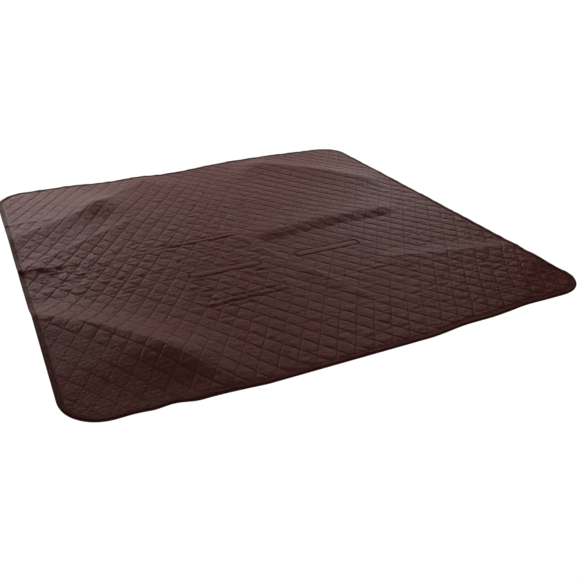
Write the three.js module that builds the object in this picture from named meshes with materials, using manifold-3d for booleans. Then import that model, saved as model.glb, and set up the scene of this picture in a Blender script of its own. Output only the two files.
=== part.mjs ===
// A quilted bench-seat cover: a padded, diamond-quilted rectangle of cloth with a bound edge and two
// belt slots, lying loosely on a flat surface. Millimetres, +Z up. X runs along the two shorter edges
// and Y along the longer ones, and -Y is the front edge, the one nearer the slots. The origin is on the
// surface that the cover lies on, below the middle of its outline.
import * as THREE from "three";
import { mergeVertices } from "three/addons/utils/BufferGeometryUtils.js";
import Module from "manifold-3d";

const wasm = await Module();
wasm.setup();

// ---- Driving dimensions ----
const WIDTH = 1358; // along X
const LENGTH = 1400; // along Y, before the edges are drawn out of line
const CORNER_RADIUS = 100;
const GAP = 0.3; // between pieces that touch

// The sandwich, from the underside up.
const SKIN = 0.8; // backing cloth, and face cloth
const PAD = 3.4; // batting between the two
const BINDING_CLOTH = 0.9;
const BINDING_WIDTH = 12; // how far the edge binding reaches over each side
const STITCH_WIDTH = 0.9;
const STITCH_HEIGHT = 0.4;
const STITCH_INSET = 9.5; // of the binding's seam, from the outer edge
const CORNER_STEPS = 6; // of the outline, round a corner
const EDGE_STEPS = 16; // and along an edge

// The two belt slots. Each is a window in the quilted layers, faced with plain cloth and closed by a flap.
const SLOT_CENTRE_X = 160;
const WINDOW_FRONT_Y = -197;
const WINDOW_BACK_Y = -166;
const WINDOW_WIDTH = 200;
const COLLAR = 0.8; // the facing where it lines the window's walls
const LAYER_CLEARANCE = 1.2; // from the window's inner wall to the cut edge of the layers
const FACING_WIDTH = 214;
const FACING_FRONT_Y = -362;
const FACING_BACK_Y = 41;
const FACING_CLOTH = 0.9;
const HEM_WIDTH = 25; // folded double across the facing's front and back ends
const HEM_DROP = 1.0;
const SLOT_DEPTH = 14; // of the open slot behind the ledge, along Y
const TAPE_DEPTH = 10;
const LOOP_THICKNESS = 1.0;
const LOOP_SETBACK = 4; // behind the window's front edge
const HOOK_THICKNESS = 1.2;
const HOOK_SETBACK = 5;
const FLAP_THICKNESS = 2.4;
const FLAP_SETBACK = 2.8;
const SEAM_STRIP = 0.8; // the turned-down edge of the flap, sewn to the window's back wall
const END_GAP = { loop: 3, hook: 5, flap: 1, strip: 2 }; // from a piece's end to the window's
const FLAP_SUNK = 0.4; // below the cloth round the slot
const WALL_SUNK = 0.2;
const BARTACK = { width: 3, length: 27, height: 0.7, clearance: 1 };

// ---- How the cloth lies ----
// Each soft fold left by unpacking: a crest from one point to another, bowed sideways, that falls away over
// one width to the left of its direction and another to the right. A steep one has a level foot on its
// right-hand side. All in millimetres.
const FOLDS = [
  { name: "front_left", from: [-665, -272], to: [-352, -655], bow: 30, height: 34, left: 75, right: 240 },
  { name: "back_left", from: [-695, 240], to: [-374, 436], bow: -6, height: 17, left: 125, right: 88 },
  { name: "back_left_end", from: [-385, 432], to: [-180, 618], bow: 0, height: 11, left: 90, right: 140 },
  { name: "back_right", from: [285, 595], to: [550, 300], bow: 18, height: 19, left: 85, right: 105 },
  { name: "behind_right_slot", from: [62, -8], to: [452, 16], bow: 14, height: 11, left: 95, right: 46, steep: true },
  { name: "right", from: [335, -325], to: [618, -400], bow: 0, height: 7.5, left: 45, right: 95 },
  { name: "front_right_corner", from: [463, -664], to: [643, -519], bow: 0, height: 9, left: 120, right: 75 },
  { name: "between_slots", from: [-54, 8], to: [101, -437], bow: 0, height: 4.5, left: 28, right: 45 },
  { name: "left_crease", from: [-690, 36], to: [-290, 10], bow: 0, height: 2.6, left: 45, right: 20 },
  { name: "left_tuck", from: [-700, 33], to: [-640, 31], bow: 0, height: 3.2, left: 30, right: 10 },
  { name: "front_left_tuck", from: [-690, -112], to: [-500, -116], bow: 0, height: 3.2, left: 40, right: 22 },
  { name: "back_left_tuck", from: [-700, 384], to: [-630, 377], bow: 0, height: 4.2, left: 30, right: 10 },
  { name: "left_swell", from: [-680, 45], to: [-340, 250], bow: 0, height: 6, left: 35, right: 60 },
];
const FOLD_END = 75; // how softly a crest dies away past its ends
const CREST_POWER = 1.25; // 2 for round crests, less for sharper ones
const STEEP_POWER = 2.6;
const SLACK_UNDER_FOLDS = 1.5; // relief lower than this lies flat on the surface
const FRONT_EDGE = { left: 0.35, width: 200 }; // the part of a fold left at the front edge, and how soon it is whole
const LEVEL_RANGE_X = [SLOT_CENTRE_X - FACING_WIDTH / 2, SLOT_CENTRE_X + FACING_WIDTH / 2]; // left and right
const LEVEL_RANGE_Y = [-215, -148]; // round the windows, where the cloth stays level
const LEVEL_FADE = 60;

// How far each edge lies out of line: a first amount, then the start, the width and the size of each change
// along it. The shift fades from each edge inwards.
const FRONT_LINE = {
  start: 4,
  steps: [[-560, 130, -19], [-515, 50, 10], [-462, 50, -10], [140, 130, 12], [320, 150, 10]],
};
const BACK_LINE = { start: 2, steps: [[-430, 150, -20], [-80, 320, 40], [400, 180, -8]] };
const RIGHT_LINE = { start: 0, steps: [[-640, 100, -10], [-460, 90, 10], [0, 600, -4]] };
const LINE_FADE = { front: [420, 280], back: [100, 600], right: [280, 390] };

// Grid lines that the draped layers share. They fall on the borders of the facings and of the level areas.
const GRID_X = mirrored([0, LEVEL_RANGE_X[0], ...stepsTo(LEVEL_RANGE_X[1], WIDTH / 2 + 31, 7)]);
const GRID_Y = [
  ...stepsTo(-LENGTH / 2 - 31, FACING_FRONT_Y, 5).slice(0, -1),
  ...stepsTo(FACING_FRONT_Y, LEVEL_RANGE_Y[0], 2).slice(0, -1),
  LEVEL_RANGE_Y[0],
  ...stepsTo(LEVEL_RANGE_Y[1], FACING_BACK_Y, 5).slice(0, -1),
  ...stepsTo(FACING_BACK_Y, LENGTH / 2 + 31, 8),
];

// ---- Heights worked out from the above ----
const BACKING_Z = BINDING_CLOTH + GAP; // above the lowest point of the cloth there
const BATTING_Z = BACKING_Z + SKIN + GAP;
const FACE_Z = BATTING_Z + PAD + GAP;
const FACE_TOP = FACE_Z + SKIN;
const BINDING_TOP = FACE_TOP + GAP + BINDING_CLOTH;
const FACING_Z = HEM_DROP;
const LEDGE_TOP = FACING_Z + FACING_CLOTH;
const LEVEL_TOP = FACE_TOP + HEM_DROP; // the face cloth's top round the slots
const FLAP_TOP = LEVEL_TOP - FLAP_SUNK;
const FLAP_Z = FLAP_TOP - FLAP_THICKNESS;
const HOOK_Z = FLAP_Z - GAP - HOOK_THICKNESS;
const FLAP_BACK_Y = WINDOW_BACK_Y - 2 * GAP - SEAM_STRIP; // the flap hinges on this edge
const FLAP_FRONT_Y = WINDOW_FRONT_Y + FLAP_SETBACK;
const CUT_LOW = -50; // the cutting shapes reach from here
const CUT_HIGH = 150;
const SLOT_MIDDLE_Y = (WINDOW_FRONT_Y + WINDOW_BACK_Y) / 2;

// ---- Materials ----
const cloth = (color, roughness) => new THREE.MeshStandardMaterial({ color, roughness, metalness: 0 });
const FACE_CLOTH = cloth("#4a3231", 0.6);
const LINING_CLOTH = cloth("#3a2524", 0.8);
const WADDING = cloth("#d8d4cc", 0.95);
const BINDING = cloth("#2c1514", 0.7);
const TAPE = cloth("#241413", 0.9);
const THREAD = cloth("#3b1f1e", 0.6);

// ---- Small helpers ----
function stepsTo(start, end, count) {
  return Array.from({ length: count + 1 }, (_, i) => start + ((end - start) * i) / count);
}

function mirrored(lines) {
  return [...lines.slice(1).reverse().map((v) => -v), ...lines];
}

function smoothstep(t) {
  const c = Math.min(1, Math.max(0, t));
  return c * c * (3 - 2 * c);
}

// How far outside a span a value lies.
function outside(value, low, high) {
  return Math.max(low - value, 0, value - high);
}

// ---- Draping ----
// The height of one fold over a point of the plan.
function foldHeight(fold, x, y) {
  const [x0, y0] = fold.from;
  const dx = fold.to[0] - x0;
  const dy = fold.to[1] - y0;
  const span = Math.hypot(dx, dy);
  const along = ((x - x0) * dx + (y - y0) * dy) / span;
  const t = Math.min(1, Math.max(0, along / span));
  const sideways = ((y - y0) * dx - (x - x0) * dy) / span - fold.bow * 4 * t * (1 - t);
  const reach = sideways > 0 ? fold.left : fold.right;
  const past = outside(along, 0, span) / FOLD_END;
  const power = fold.steep && sideways < 0 ? STEEP_POWER : CREST_POWER;
  return fold.height * Math.exp(-(Math.abs(sideways / reach) ** power) - past ** 2);
}

// How high the cloth's underside lies above the surface because of the folds.
function foldsRelief(x, y) {
  const frontEdge = FRONT_EDGE.left + (1 - FRONT_EDGE.left) * smoothstep((y + LENGTH / 2) / FRONT_EDGE.width);
  const folds = frontEdge * FOLDS.reduce((sum, fold) => sum + foldHeight(fold, x, y), 0);
  const away = Math.hypot(outside(Math.abs(x), ...LEVEL_RANGE_X), outside(y, ...LEVEL_RANGE_Y));
  return smoothstep(away / LEVEL_FADE) * Math.max(0, folds - SLACK_UNDER_FOLDS);
}

// The same for the quilted layers, which also lie over the facings.
function layersRelief(x, y) {
  const away = Math.hypot(outside(Math.abs(x), ...LEVEL_RANGE_X), outside(y, FACING_FRONT_Y, FACING_BACK_Y));
  return foldsRelief(x, y) + HEM_DROP * (1 - smoothstep(away / LEVEL_FADE));
}

// 0 before start, 1 from start + width on, and smooth between.
function ease(value, start, width) {
  return smoothstep((value - start) / width);
}

// How far an edge lies out of line at a place along it.
function lineShift(line, at) {
  return line.steps.reduce((sum, [start, width, change]) => sum + change * ease(at, start, width), line.start);
}

// How far the loose cloth lies out of its cut shape at a point of the plan.
function drawn(x, y) {
  const front = lineShift(FRONT_LINE, x) * ease(-y, ...LINE_FADE.front);
  const back = lineShift(BACK_LINE, x) * ease(y, ...LINE_FADE.back);
  return [lineShift(RIGHT_LINE, y) * ease(x, ...LINE_FADE.right), front + back];
}

// A layer of cloth over the whole plan, between two heights above its relief. Both faces use the same
// triangles, so that layers one above another keep their gap everywhere.
function drapedLayer(low, high, relief = layersRelief) {
  const columns = GRID_X.length - 1;
  const rows = GRID_Y.length - 1;
  const plane = new THREE.PlaneGeometry(1, 1, columns, rows);
  const grid = plane.getAttribute("position");
  const triangles = Array.from(plane.index.array);
  const count = grid.count;
  const points = [];
  for (const z of [high, low]) {
    for (let i = 0; i < count; i++) {
      const x = GRID_X[Math.round((grid.getX(i) + 0.5) * columns)];
      const y = GRID_Y[Math.round((grid.getY(i) + 0.5) * rows)];
      points.push(x, y, z + relief(x, y));
    }
  }
  const index = [...triangles];
  for (let i = 0; i < triangles.length; i += 3) {
    index.push(triangles[i] + count, triangles[i + 2] + count, triangles[i + 1] + count);
  }
  const rim = rimOf(columns, rows);
  rim.forEach((a, i) => {
    const b = rim[(i + 1) % rim.length];
    index.push(a, a + count, b, b, a + count, b + count);
  });
  const geometry = new THREE.BufferGeometry();
  geometry.setAttribute("position", new THREE.Float32BufferAttribute(points, 3));
  geometry.setIndex(index);
  return solidOf(geometry);
}

// The border of a plane's grid of vertices, in order, anticlockwise seen from above.
function rimOf(columns, rows) {
  const at = (column, row) => row * (columns + 1) + column;
  const rim = [];
  for (let c = 0; c < columns; c++) rim.push(at(c, rows));
  for (let r = rows; r > 0; r--) rim.push(at(columns, r));
  for (let c = columns; c > 0; c--) rim.push(at(c, 0));
  for (let r = 0; r < rows; r++) rim.push(at(0, r));
  return rim;
}

// ---- Solids ----
function solidOf(geometry) {
  const bare = geometry.clone();
  bare.deleteAttribute("normal");
  bare.deleteAttribute("uv");
  const merged = mergeVertices(bare, 1e-4);
  return new wasm.Manifold(
    new wasm.Mesh({
      numProp: 3,
      vertProperties: new Float32Array(merged.getAttribute("position").array),
      triVerts: new Uint32Array(merged.index.array),
    }),
  );
}

function meshOf(name, solid, material) {
  const made = solid.getMesh();
  const geometry = new THREE.BufferGeometry();
  geometry.setAttribute("position", new THREE.Float32BufferAttribute(made.vertProperties, 3));
  geometry.setIndex(Array.from(made.triVerts));
  geometry.computeVertexNormals();
  const mesh = new THREE.Mesh(geometry, material);
  mesh.name = name;
  return mesh;
}

// The cover's outline as it lies, an inset inside its edge, as an upright prism taller than the whole cover.
function outlinePrism(inset) {
  const halfWidth = WIDTH / 2 - CORNER_RADIUS;
  const halfLength = LENGTH / 2 - CORNER_RADIUS;
  const centres = [[1, 1], [-1, 1], [-1, -1], [1, -1]].map(([sx, sy]) => [sx * halfWidth, sy * halfLength]);
  const points = [];
  centres.forEach((centre, corner) => {
    const next = centres[(corner + 1) % 4];
    for (const degrees of stepsTo(corner * 90, corner * 90 + 90, CORNER_STEPS)) {
      const angle = THREE.MathUtils.degToRad(degrees);
      points.push({ centre, out: [Math.cos(angle), Math.sin(angle)] });
    }
    const { out } = points[points.length - 1];
    for (const t of stepsTo(0, 1, EDGE_STEPS).slice(1, -1)) {
      points.push({ centre: centre.map((v, i) => v + t * (next[i] - v)), out });
    }
  });
  const outline = points.map(({ centre, out }) => {
    const shift = drawn(centre[0] + CORNER_RADIUS * out[0], centre[1] + CORNER_RADIUS * out[1]);
    const reach = CORNER_RADIUS - inset;
    return new THREE.Vector2(centre[0] + reach * out[0] + shift[0], centre[1] + reach * out[1] + shift[1]);
  });
  const geometry = new THREE.ExtrudeGeometry(new THREE.Shape(outline), {
    depth: CUT_HIGH - CUT_LOW,
    bevelEnabled: false,
  });
  return solidOf(geometry.translate(0, 0, CUT_LOW));
}

// A box between two corners.
function box(low, high) {
  const size = high.map((v, i) => v - low[i]);
  const geometry = new THREE.BoxGeometry(...size);
  return solidOf(geometry.translate(...low.map((v, i) => v + size[i] / 2)));
}

// The window of a slot, grown by a margin on all four sides.
function windowBox(centreX, margin, low, high) {
  const half = WINDOW_WIDTH / 2 + margin;
  return box(
    [centreX - half, WINDOW_FRONT_Y - margin, low],
    [centreX + half, WINDOW_BACK_Y + margin, high],
  );
}

// ---- The quilted panel ----
function quiltLayer(low, thickness) {
  let layer = drapedLayer(low, low + thickness).intersect(outlinePrism(BINDING_CLOTH + 2 * GAP));
  for (const side of [-1, 1]) {
    layer = layer.subtract(windowBox(side * SLOT_CENTRE_X, LAYER_CLEARANCE, CUT_LOW, CUT_HIGH));
  }
  return layer;
}

// A strip of cloth folded round the panel's edge, open towards the middle.
function edgeBinding() {
  const channel = drapedLayer(BINDING_CLOTH, FACE_TOP + GAP).intersect(outlinePrism(BINDING_CLOTH));
  return drapedLayer(0, BINDING_TOP)
    .intersect(outlinePrism(0))
    .subtract(outlinePrism(BINDING_WIDTH))
    .subtract(channel);
}

function bindingStitch() {
  return drapedLayer(BINDING_TOP + GAP, BINDING_TOP + GAP + STITCH_HEIGHT)
    .intersect(outlinePrism(STITCH_INSET))
    .subtract(outlinePrism(STITCH_INSET + STITCH_WIDTH));
}

// ---- A belt slot ----
// Plain cloth under the slot, hemmed at both ends. It leaves a ledge for the loop tape in front of the open
// slot, and turns up through the window to line its walls.
function slotFacing(x) {
  const half = FACING_WIDTH / 2;
  const slotHalf = WINDOW_WIDTH / 2;
  const strip = (low, high, front, back) =>
    drapedLayer(low, high, foldsRelief).intersect(box([x - half, front, CUT_LOW], [x + half, back, CUT_HIGH]));
  const walls = windowBox(x, COLLAR, FACING_Z, LEVEL_TOP - WALL_SUNK).subtract(windowBox(x, 0, 0, CUT_HIGH));
  return strip(FACING_Z, LEDGE_TOP, FACING_FRONT_Y, FACING_BACK_Y)
    .add(strip(0, LEDGE_TOP, FACING_FRONT_Y, FACING_FRONT_Y + HEM_WIDTH))
    .add(strip(0, LEDGE_TOP, FACING_BACK_Y - HEM_WIDTH, FACING_BACK_Y))
    .add(walls)
    .subtract(box([x - slotHalf, WINDOW_BACK_Y - SLOT_DEPTH, CUT_LOW], [x + slotHalf, WINDOW_BACK_Y, CUT_HIGH]));
}

function loopTape(x) {
  const half = WINDOW_WIDTH / 2 - END_GAP.loop;
  const z = LEDGE_TOP + GAP;
  const front = WINDOW_FRONT_Y + LOOP_SETBACK;
  return box([x - half, front, z], [x + half, front + TAPE_DEPTH, z + LOOP_THICKNESS]);
}

function hookTape(x) {
  const half = WINDOW_WIDTH / 2 - END_GAP.hook;
  const front = WINDOW_FRONT_Y + HOOK_SETBACK;
  return box([x - half, front, HOOK_Z], [x + half, front + TAPE_DEPTH, HOOK_Z + HOOK_THICKNESS]);
}

// A plain strip folded double. Its back edge is the hinge.
function slotFlap(x) {
  const half = WINDOW_WIDTH / 2 - END_GAP.flap;
  return box([x - half, FLAP_FRONT_Y, FLAP_Z], [x + half, FLAP_BACK_Y, FLAP_TOP]);
}

// The flap's own edge, turned down against the window's back wall and sewn there.
function flapSeamStrip(x) {
  const half = WINDOW_WIDTH / 2 - END_GAP.strip;
  return box(
    [x - half, FLAP_BACK_Y + GAP, FACING_Z],
    [x + half, FLAP_BACK_Y + GAP + SEAM_STRIP, FLAP_TOP - FLAP_SUNK],
  );
}

// A dense bar of stitches across one end of the window.
function bartack(x) {
  const z = LEVEL_TOP + GAP;
  return box(
    [x - BARTACK.width / 2, SLOT_MIDDLE_Y - BARTACK.length / 2, z],
    [x + BARTACK.width / 2, SLOT_MIDDLE_Y + BARTACK.length / 2, z + BARTACK.height],
  );
}

function beltSlot(side, x) {
  const tackOffset = WINDOW_WIDTH / 2 + LAYER_CLEARANCE + BARTACK.width / 2 + BARTACK.clearance;
  return [
    meshOf(`${side}_slot_facing`, slotFacing(x), LINING_CLOTH),
    meshOf(`${side}_slot_loop_tape`, loopTape(x), TAPE),
    meshOf(`${side}_slot_flap`, slotFlap(x), FACE_CLOTH),
    meshOf(`${side}_flap_hook_tape`, hookTape(x), TAPE),
    meshOf(`${side}_flap_seam_strip`, flapSeamStrip(x), FACE_CLOTH),
    meshOf(`${side}_slot_bartack_left`, bartack(x - tackOffset), THREAD),
    meshOf(`${side}_slot_bartack_right`, bartack(x + tackOffset), THREAD),
  ];
}

// ---- The cover ----
const seatCover = new THREE.Group();
seatCover.name = "quilted_seat_cover";
seatCover.add(
  meshOf("backing_cloth", quiltLayer(BACKING_Z, SKIN), LINING_CLOTH),
  meshOf("batting", quiltLayer(BATTING_Z, PAD), WADDING),
  meshOf("face_cloth", quiltLayer(FACE_Z, SKIN), FACE_CLOTH),
  meshOf("edge_binding", edgeBinding(), BINDING),
  meshOf("binding_stitch", bindingStitch(), THREAD),
  ...beltSlot("left", -SLOT_CENTRE_X),
  ...beltSlot("right", SLOT_CENTRE_X),
);

export default seatCover;
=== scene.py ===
"""The looks of a quilted bench-seat cover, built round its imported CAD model.

The cover lies loosely on the floor. Its face cloth is quilted in diamonds and puffed up by the batting
inside; a small cloth simulation, written out below, gives it its puckers. Metres, +Z up. -Y is the
front edge, the one nearer the belt slots.
"""

import math
from contextlib import contextmanager

import bmesh
import bpy
import numpy as np
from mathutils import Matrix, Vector
from mathutils.bvhtree import BVHTree


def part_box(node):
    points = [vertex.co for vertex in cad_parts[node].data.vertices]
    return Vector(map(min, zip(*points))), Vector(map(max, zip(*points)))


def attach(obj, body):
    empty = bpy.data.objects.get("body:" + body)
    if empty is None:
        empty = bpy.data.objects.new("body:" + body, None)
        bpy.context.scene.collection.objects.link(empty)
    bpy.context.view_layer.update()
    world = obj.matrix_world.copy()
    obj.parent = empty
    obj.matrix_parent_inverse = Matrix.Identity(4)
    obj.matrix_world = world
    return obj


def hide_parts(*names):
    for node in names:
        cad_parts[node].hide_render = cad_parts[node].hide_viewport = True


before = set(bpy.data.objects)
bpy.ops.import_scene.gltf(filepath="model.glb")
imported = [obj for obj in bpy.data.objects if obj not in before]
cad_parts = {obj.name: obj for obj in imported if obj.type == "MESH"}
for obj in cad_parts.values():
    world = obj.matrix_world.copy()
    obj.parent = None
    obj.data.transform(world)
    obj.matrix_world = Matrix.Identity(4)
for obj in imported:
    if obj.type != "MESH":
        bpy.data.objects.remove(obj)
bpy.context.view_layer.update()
MM = 0.001
BODY = "cover"
TOUCHING = 0.01 * MM  # apart, at the most

# ---- Sizes, in step with the CAD part's source ----
WIDTH = 1358 * MM
LENGTH = 1400 * MM  # before the edges are drawn out of line
CORNER_RADIUS = 100 * MM
DIAMOND_WIDTH = 49 * MM  # of the quilting, along X
DIAMOND_LENGTH = 74.5 * MM  # along Y
FIRST_FALLING, FIRST_RISING = 0.5, 0.85  # where the two sets of stitch lines pass the middle, in diamonds

# Each soft fold: a crest from one point to another, bowed sideways, that falls away over one width to the
# left of its direction and another to the right; a steep one has a level foot on its right-hand side. The
# CAD part's source has the same list, in millimetres.
FOLDS = [
    {"from": (-665, -272), "to": (-352, -655), "bow": 30, "height": 34, "left": 75, "right": 240},
    {"from": (-695, 240), "to": (-374, 436), "bow": -6, "height": 17, "left": 125, "right": 88},
    {"from": (-385, 432), "to": (-180, 618), "bow": 0, "height": 11, "left": 90, "right": 140},
    {"from": (285, 595), "to": (550, 300), "bow": 18, "height": 19, "left": 85, "right": 105},
    {"from": (62, -8), "to": (452, 16), "bow": 14, "height": 11, "left": 95, "right": 46, "steep": True},
    {"from": (335, -325), "to": (618, -400), "bow": 0, "height": 7.5, "left": 45, "right": 95},
    {"from": (463, -664), "to": (643, -519), "bow": 0, "height": 9, "left": 120, "right": 75},
    {"from": (-54, 8), "to": (101, -437), "bow": 0, "height": 4.5, "left": 28, "right": 45},
    {"from": (-690, 36), "to": (-290, 10), "bow": 0, "height": 2.6, "left": 45, "right": 20},
    {"from": (-700, 33), "to": (-640, 31), "bow": 0, "height": 3.2, "left": 30, "right": 10},
    {"from": (-690, -112), "to": (-500, -116), "bow": 0, "height": 3.2, "left": 40, "right": 22},
    {"from": (-700, 384), "to": (-630, 377), "bow": 0, "height": 4.2, "left": 30, "right": 10},
    {"from": (-680, 45), "to": (-340, 250), "bow": 0, "height": 6, "left": 35, "right": 60},
]
FOLD_END = 75 * MM
FRONT_EDGE = (0.35, 200 * MM)  # a fold's share left at the front edge, and how soon it is whole
CREST_POWER = 1.25  # 2 for round crests, less for sharper ones
STEEP_POWER = 2.6
SLACK_UNDER_FOLDS = 1.5 * MM

# How far each edge lies out of line, in mm: a first amount, then (start, width, change) along the edge.
FRONT_LINE = (4, (-560, 130, -19), (-515, 50, 10), (-462, 50, -10), (140, 130, 12), (320, 150, 10))
BACK_LINE = (2, (-430, 150, -20), (-80, 320, 40), (400, 180, -8))
RIGHT_LINE = (0, (-640, 100, -10), (-460, 90, 10), (0, 600, -4))

# The slots, and the hemmed cloth facings under them, which show through the quilting.
SIDES = {"left": -1, "right": 1}
WINDOW_X = (60 * MM, 260 * MM)  # left and right
WINDOW_Y = (-197 * MM, -166 * MM)
LAYER_CLEARANCE = 1.2 * MM  # from the window's lined walls to the cut edge of the layers
FACING_X = (53 * MM, 267 * MM)
FACING_Y = (-362 * MM, 41 * MM)
LEVEL_Y = (-215 * MM, -148 * MM)  # the cloth round a window stays level
LEVEL_FADE = 60 * MM
HEM_WIDTH = 25 * MM
HEM_DROP = 1.0 * MM  # how far a hem's turned-under layer lies below its facing
OPEN_FROM_Y = -180 * MM  # the facing is open from here back to the window's back wall
COLLAR_TOP = 7.3 * MM  # of the facing where it lines the window's walls

# How the facings show through: a ridge over each hem between two grooves, and a groove along each side.
HEM_RIDGE = 1.0 * MM
HEM_GROOVE = 2.0 * MM
HEM_GROOVE_WIDTH = 4 * MM
SIDE_GROOVE = 0.55 * MM
SIDE_GROOVE_WIDTH = 2.5 * MM
IMPRINT_FADE = 9 * MM  # beyond the facing
RIGHT_IMPRINT = 0.55  # the right facing's share

# Heights above the relief, which is where the cloth's lowest side lies.
GROOVE_HEIGHT = 4.6 * MM  # of the face cloth, where a line of stitches holds it down
CREASE_DEPTH = 1.8 * MM  # of the narrow crease that each line of stitches pulls in
CREASE_WIDTH = 1.2 * MM
PUFF_HEIGHT = 1.7 * MM  # of the middle of a diamond, above the creases' shoulders
PUFF_WIDTH = 6.0 * MM
PUFFED_BEFORE = 0.8  # the share of this shape from which the cloth settles
WRINKLE_HEIGHT = 1.8 * MM
CRUMPLE_SIZE = 7 * MM  # of the smallest creases
TIGHT_SLOPE = 0.16  # of a fold's side, where the cloth on it is tight
TIGHT_SHARE = 0.4  # how tight that is, next to 1 in the corner beyond the highest fold
TIGHT_FLAT = 0.75  # how much of its height the quilting loses where it is tightest
BACKING_HEIGHT = 0.3 * MM
BACKING_GROOVE = 1.2 * MM  # how far the stitches pull the backing up
BACKING_GROOVE_WIDTH = 4 * MM
FACING_CLOTH = 0.9 * MM  # the room that a facing takes under the backing
SHALLOWER = {"falling": 0.35, "rising": 0.5}  # what a groove's depth loses where the cloth lies in ribs


# ---- The windows, where the slots are cut ----
def window_of(sign, margin=0.0):
    """A window's lowest and highest corner in the plan, grown by a margin."""
    left, right = sorted(sign * x for x in WINDOW_X)
    front, back = WINDOW_Y
    return Vector((left - margin, front - margin, 0)), Vector((right + margin, back + margin, 0))


LAYER_WINDOWS = [window_of(sign, LAYER_CLEARANCE) for sign in SIDES.values()]


# ---- Small helpers ----
def smoothstep(t):
    t = np.clip(t, 0, 1)
    return t * t * (3 - 2 * t)


def outside(value, low, high):
    """How far outside a span each value lies."""
    return np.maximum(np.maximum(low - value, value - high), 0)


def away_from(x, y, span_x, span_y):
    """How far outside a rectangle each point of the plan lies."""
    return np.hypot(outside(x, *span_x), outside(y, *span_y))


def beyond_box(x, y, low, high):
    """The same for the rectangle between two corners."""
    return away_from(x, y, (low.x, high.x), (low.y, high.y))


def bell(distance, width):
    """1 at no distance, falling to 0 over a few widths."""
    return np.exp(-((distance / width) ** 2))


def ease(value, start, width):
    """0 up to start and 1 from start + width on. The value is in metres, the others in mm."""
    return smoothstep((value / MM - start) / width)


def line_shift(line, at):
    """How far an edge lies out of line at a place along it, in mm."""
    return line[0] + sum(change * ease(at, start, width) for start, width, change in line[1:])


def drawn(x, y):
    """How far the loose cloth lies out of its cut shape at a point of the plan."""
    shift_x = ease(x, 280, 390) * line_shift(RIGHT_LINE, y)
    front, back = ease(-y, 420, 280), ease(y, 100, 600)
    shift_y = front * line_shift(FRONT_LINE, x) + back * line_shift(BACK_LINE, x)
    return shift_x * MM, shift_y * MM


def inset_of(x, y):
    """How far inside the cover's outline each point of the plan lies."""
    flat_x, flat_y = x, y
    for _ in range(3):
        shift_x, shift_y = drawn(flat_x, flat_y)
        flat_x, flat_y = x - shift_x, y - shift_y
    qx = np.abs(flat_x) - (WIDTH / 2 - CORNER_RADIUS)
    qy = np.abs(flat_y) - (LENGTH / 2 - CORNER_RADIUS)
    beyond = np.hypot(np.maximum(qx, 0), np.maximum(qy, 0))
    return CORNER_RADIUS - beyond - np.minimum(np.maximum(qx, qy), 0)


def unit(vectors):
    """The same directions, one long."""
    return vectors / np.maximum(np.linalg.norm(vectors, axis=1), 1e-9)[:, None]


def smooth_noise(x, y, size, seed, stretch=(1, 1)):
    """Soft random waves over the plan, from about -1 to 1, whose bumps are about size across."""
    rng = np.random.default_rng(seed)
    total = np.zeros_like(x)
    waves = 14
    for _ in range(waves):
        heading = rng.uniform(0, 2 * math.pi)
        rate = rng.uniform(0.6, 1.5) * math.pi / size
        phase = rng.uniform(0, 2 * math.pi)
        along = x * math.cos(heading) / stretch[0] + y * math.sin(heading) / stretch[1]
        total += np.sin(rate * along + phase)
    return total / math.sqrt(waves)


def mesh_piece(name, points, faces, material, smooth=True):
    """A mesh object of these points and faces."""
    mesh = bpy.data.meshes.new(name)
    mesh.from_pydata([tuple(p) for p in points], [], [tuple(f) for f in faces])
    return finish_piece(name, mesh, material, smooth)


def array_piece(name, points, quads, material):
    """The same for large numpy arrays, with faces that all have one number of corners."""
    mesh = bpy.data.meshes.new(name)
    points = np.asarray(points, np.float32)
    quads = np.asarray(quads, np.int32)
    corners = quads.shape[1]
    mesh.vertices.add(len(points))
    mesh.vertices.foreach_set("co", points.ravel())
    mesh.loops.add(quads.size)
    mesh.loops.foreach_set("vertex_index", quads.ravel())
    mesh.polygons.add(len(quads))
    mesh.polygons.foreach_set("loop_start", np.arange(0, quads.size, corners, dtype=np.int32))
    mesh.polygons.foreach_set("loop_total", np.full(len(quads), corners, np.int32))
    mesh.update(calc_edges=True)
    return finish_piece(name, mesh, material)


def finish_piece(name, mesh, material, smooth=True):
    mesh.polygons.foreach_set("use_smooth", np.full(len(mesh.polygons), smooth))
    mesh.materials.append(material)
    piece = bpy.data.objects.new(name, mesh)
    bpy.context.scene.collection.objects.link(piece)
    return piece


@contextmanager
def edited(piece):
    """Gives a piece's mesh as a bmesh, and puts it back afterwards."""
    mesh = bmesh.new()
    mesh.from_mesh(piece.data)
    yield mesh
    mesh.to_mesh(piece.data)
    mesh.free()


def outwards(piece):
    """Turns a closed piece's faces to point out."""
    with edited(piece) as mesh:
        bmesh.ops.recalc_face_normals(mesh, faces=mesh.faces)


def grid_quads(rows, columns, wrap_rows=False, wrap_columns=False):
    """The quads of a rows by columns grid of points, as an array of point numbers."""
    r = np.arange(rows if wrap_rows else rows - 1)
    c = np.arange(columns if wrap_columns else columns - 1)
    r, c = np.meshgrid(r, c, indexing="ij")
    r1, c1 = (r + 1) % rows, (c + 1) % columns
    quads = np.stack([r * columns + c, r1 * columns + c, r1 * columns + c1, r * columns + c1], axis=-1)
    return quads.reshape(-1, 4)


def only_used(points, quads):
    """The points that the quads use, and the quads with their new numbers."""
    used, numbers = np.unique(quads, return_inverse=True)
    return points[used], numbers.reshape(quads.shape)


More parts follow.
